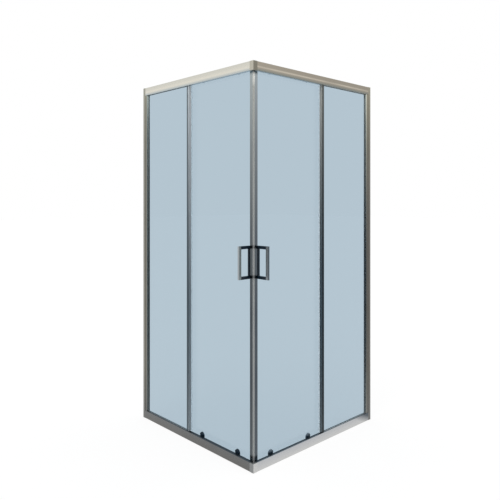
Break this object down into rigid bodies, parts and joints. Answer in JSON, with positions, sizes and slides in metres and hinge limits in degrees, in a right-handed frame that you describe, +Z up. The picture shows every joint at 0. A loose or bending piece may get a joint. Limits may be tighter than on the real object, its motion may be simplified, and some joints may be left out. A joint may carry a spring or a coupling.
{
  "type": "shower cabin",
  "caption": "Square corner-entry shower enclosure: fixed glass panes at the walls and sliding doors on grooved rollers that meet at the corner.",
  "frame": {"origin": "centre of the enclosure's bounding box, handles included, at floor level", "axes": "+Z up; the right-hand side runs along +X to its wall, the left-hand side along +Y to its wall; the free corner and the handles point to -X -Y"},
  "size_m": [0.9394, 0.9394, 1.85],
  "materials": {
    "polished_frame": "bright polished extrusion",
    "corner_moulding": "polished casting",
    "stile_aluminium": "bright polished extrusion",
    "tinted_glass": "pale blue tempered pane",
    "gasket_rubber": "black glazing rubber",
    "clear_seal": "translucent soft plastic",
    "filler_plastic": "grey plastic strip",
    "magnet_strip": "pale grey soft plastic",
    "handle_chrome": "chromed",
    "screw_steel": "plated steel",
    "cap_chrome": "chromed cap",
    "carriage_plastic": "dark moulded plastic with steel pins",
    "wheel_nylon": "white nylon",
    "housing_plastic": "dark moulded plastic",
    "slider_plastic": "dark moulded plastic with steel pin",
    "spring_steel": "spring steel strip",
    "buffer_rubber": "black rubber buffer"
  },
  "bodies": {
    "root": {"top_rail_left": "polished_frame", "bottom_rail_left": "polished_frame", "wall_channel_left": "polished_frame", "side_post_left": "polished_frame", "fixed_glass_left": "tinted_glass", "fixed_stile_left": "stile_aluminium", "glazing_gasket_left": "gasket_rubber", "top_rail_right": "polished_frame", "bottom_rail_right": "polished_frame", "wall_channel_right": "polished_frame", "side_post_right": "polished_frame", "fixed_glass_right": "tinted_glass", "fixed_stile_right": "stile_aluminium", "glazing_gasket_right": "gasket_rubber", "top_corner_joint": "corner_moulding", "bottom_corner_joint": "corner_moulding", "frame_screws": "screw_steel", "post_screws": "cap_chrome", "rail_fillers": "filler_plastic", "overlap_seals": "clear_seal", "door_stops": "buffer_rubber"},
    "left_door": {"door_glass_left": "tinted_glass", "front_stile_left": "stile_aluminium", "rear_seal_left": "clear_seal", "magnet_seal_left": "magnet_strip", "handle_left": "handle_chrome", "cap_screws_left": "cap_chrome", "carriages_left": "carriage_plastic", "carriage_studs_left": "cap_chrome", "release_housings_left": "housing_plastic", "release_spring_1_left": "spring_steel", "release_spring_2_left": "spring_steel"},
    "upper_wheel_1_left": {"upper_wheel_1_left": "wheel_nylon"},
    "upper_wheel_2_left": {"upper_wheel_2_left": "wheel_nylon"},
    "upper_wheel_3_left": {"upper_wheel_3_left": "wheel_nylon"},
    "upper_wheel_4_left": {"upper_wheel_4_left": "wheel_nylon"},
    "release_slider_1_left": {"release_slider_1_left": "slider_plastic"},
    "lower_wheel_1_left": {"lower_wheel_1_left": "wheel_nylon"},
    "release_slider_2_left": {"release_slider_2_left": "slider_plastic"},
    "lower_wheel_2_left": {"lower_wheel_2_left": "wheel_nylon"},
    "right_door": {"door_glass_right": "tinted_glass", "front_stile_right": "stile_aluminium", "rear_seal_right": "clear_seal", "magnet_seal_right": "magnet_strip", "handle_right": "handle_chrome", "cap_screws_right": "cap_chrome", "carriages_right": "carriage_plastic", "carriage_studs_right": "cap_chrome", "release_housings_right": "housing_plastic", "release_spring_1_right": "spring_steel", "release_spring_2_right": "spring_steel"},
    "upper_wheel_1_right": {"upper_wheel_1_right": "wheel_nylon"},
    "upper_wheel_2_right": {"upper_wheel_2_right": "wheel_nylon"},
    "upper_wheel_3_right": {"upper_wheel_3_right": "wheel_nylon"},
    "upper_wheel_4_right": {"upper_wheel_4_right": "wheel_nylon"},
    "release_slider_1_right": {"release_slider_1_right": "slider_plastic"},
    "lower_wheel_1_right": {"lower_wheel_1_right": "wheel_nylon"},
    "release_slider_2_right": {"release_slider_2_right": "slider_plastic"},
    "lower_wheel_2_right": {"lower_wheel_2_right": "wheel_nylon"}
  },
  "joints": [
    {"name": "left_door_slide", "type": "slide", "parent": "root", "child": "left_door", "axis": [0, 1, 0], "range_m": [0, 0.385]},
    {"name": "upper_wheel_1_left_spin", "type": "hinge", "parent": "left_door", "child": "upper_wheel_1_left", "pos_m": [-0.40645, -0.30825, 1.8367], "axis": [1, 0, 0], "continuous": true},
    {"name": "upper_wheel_2_left_spin", "type": "hinge", "parent": "left_door", "child": "upper_wheel_2_left", "pos_m": [-0.40645, -0.27825, 1.8367], "axis": [1, 0, 0], "continuous": true},
    {"name": "upper_wheel_3_left_spin", "type": "hinge", "parent": "left_door", "child": "upper_wheel_3_left", "pos_m": [-0.40645, -0.04325, 1.8367], "axis": [1, 0, 0], "continuous": true},
    {"name": "upper_wheel_4_left_spin", "type": "hinge", "parent": "left_door", "child": "upper_wheel_4_left", "pos_m": [-0.40645, -0.01325, 1.8367], "axis": [1, 0, 0], "continuous": true},
    {"name": "release_1_left", "type": "slide", "parent": "left_door", "child": "release_slider_1_left", "axis": [0, 0, 1], "range_m": [-0.003, 0], "stiffness_N_per_m": 900, "springref_m": 0.004, "deforming": ["release_spring_1_left"]},
    {"name": "lower_wheel_1_left_spin", "type": "hinge", "parent": "release_slider_1_left", "child": "lower_wheel_1_left", "pos_m": [-0.40645, -0.29325, 0.0163], "axis": [1, 0, 0], "continuous": true},
    {"name": "release_2_left", "type": "slide", "parent": "left_door", "child": "release_slider_2_left", "axis": [0, 0, 1], "range_m": [-0.003, 0], "stiffness_N_per_m": 900, "springref_m": 0.004, "deforming": ["release_spring_2_left"]},
    {"name": "lower_wheel_2_left_spin", "type": "hinge", "parent": "release_slider_2_left", "child": "lower_wheel_2_left", "pos_m": [-0.40645, -0.02825, 0.0163], "axis": [1, 0, 0], "continuous": true},
    {"name": "right_door_slide", "type": "slide", "parent": "root", "child": "right_door", "axis": [1, 0, 0], "range_m": [0, 0.385]},
    {"name": "upper_wheel_1_right_spin", "type": "hinge", "parent": "right_door", "child": "upper_wheel_1_right", "pos_m": [-0.30825, -0.40645, 1.8367], "axis": [0, 1, 0], "continuous": true},
    {"name": "upper_wheel_2_right_spin", "type": "hinge", "parent": "right_door", "child": "upper_wheel_2_right", "pos_m": [-0.27825, -0.40645, 1.8367], "axis": [0, 1, 0], "continuous": true},
    {"name": "upper_wheel_3_right_spin", "type": "hinge", "parent": "right_door", "child": "upper_wheel_3_right", "pos_m": [-0.04325, -0.40645, 1.8367], "axis": [0, 1, 0], "continuous": true},
    {"name": "upper_wheel_4_right_spin", "type": "hinge", "parent": "right_door", "child": "upper_wheel_4_right", "pos_m": [-0.01325, -0.40645, 1.8367], "axis": [0, 1, 0], "continuous": true},
    {"name": "release_1_right", "type": "slide", "parent": "right_door", "child": "release_slider_1_right", "axis": [0, 0, 1], "range_m": [-0.003, 0], "stiffness_N_per_m": 900, "springref_m": 0.004, "deforming": ["release_spring_1_right"]},
    {"name": "lower_wheel_1_right_spin", "type": "hinge", "parent": "release_slider_1_right", "child": "lower_wheel_1_right", "pos_m": [-0.29325, -0.40645, 0.0163], "axis": [0, 1, 0], "continuous": true},
    {"name": "release_2_right", "type": "slide", "parent": "right_door", "child": "release_slider_2_right", "axis": [0, 0, 1], "range_m": [-0.003, 0], "stiffness_N_per_m": 900, "springref_m": 0.004, "deforming": ["release_spring_2_right"]},
    {"name": "lower_wheel_2_right_spin", "type": "hinge", "parent": "release_slider_2_right", "child": "lower_wheel_2_right", "pos_m": [-0.02825, -0.40645, 0.0163], "axis": [0, 1, 0], "continuous": true}
  ],
  "couplings": [
    {"joint": "upper_wheel_1_left_spin", "follows": "left_door_slide", "rad_per_m": -105.26},
    {"joint": "upper_wheel_2_left_spin", "follows": "left_door_slide", "rad_per_m": -105.26},
    {"joint": "upper_wheel_3_left_spin", "follows": "left_door_slide", "rad_per_m": -105.26},
    {"joint": "upper_wheel_4_left_spin", "follows": "left_door_slide", "rad_per_m": -105.26},
    {"joint": "lower_wheel_1_left_spin", "follows": "left_door_slide", "rad_per_m": 153.85},
    {"joint": "lower_wheel_2_left_spin", "follows": "left_door_slide", "rad_per_m": 153.85},
    {"joint": "upper_wheel_1_right_spin", "follows": "right_door_slide", "rad_per_m": 105.26},
    {"joint": "upper_wheel_2_right_spin", "follows": "right_door_slide", "rad_per_m": 105.26},
    {"joint": "upper_wheel_3_right_spin", "follows": "right_door_slide", "rad_per_m": 105.26},
    {"joint": "upper_wheel_4_right_spin", "follows": "right_door_slide", "rad_per_m": 105.26},
    {"joint": "lower_wheel_1_right_spin", "follows": "right_door_slide", "rad_per_m": -153.85},
    {"joint": "lower_wheel_2_right_spin", "follows": "right_door_slide", "rad_per_m": -153.85}
  ]
}
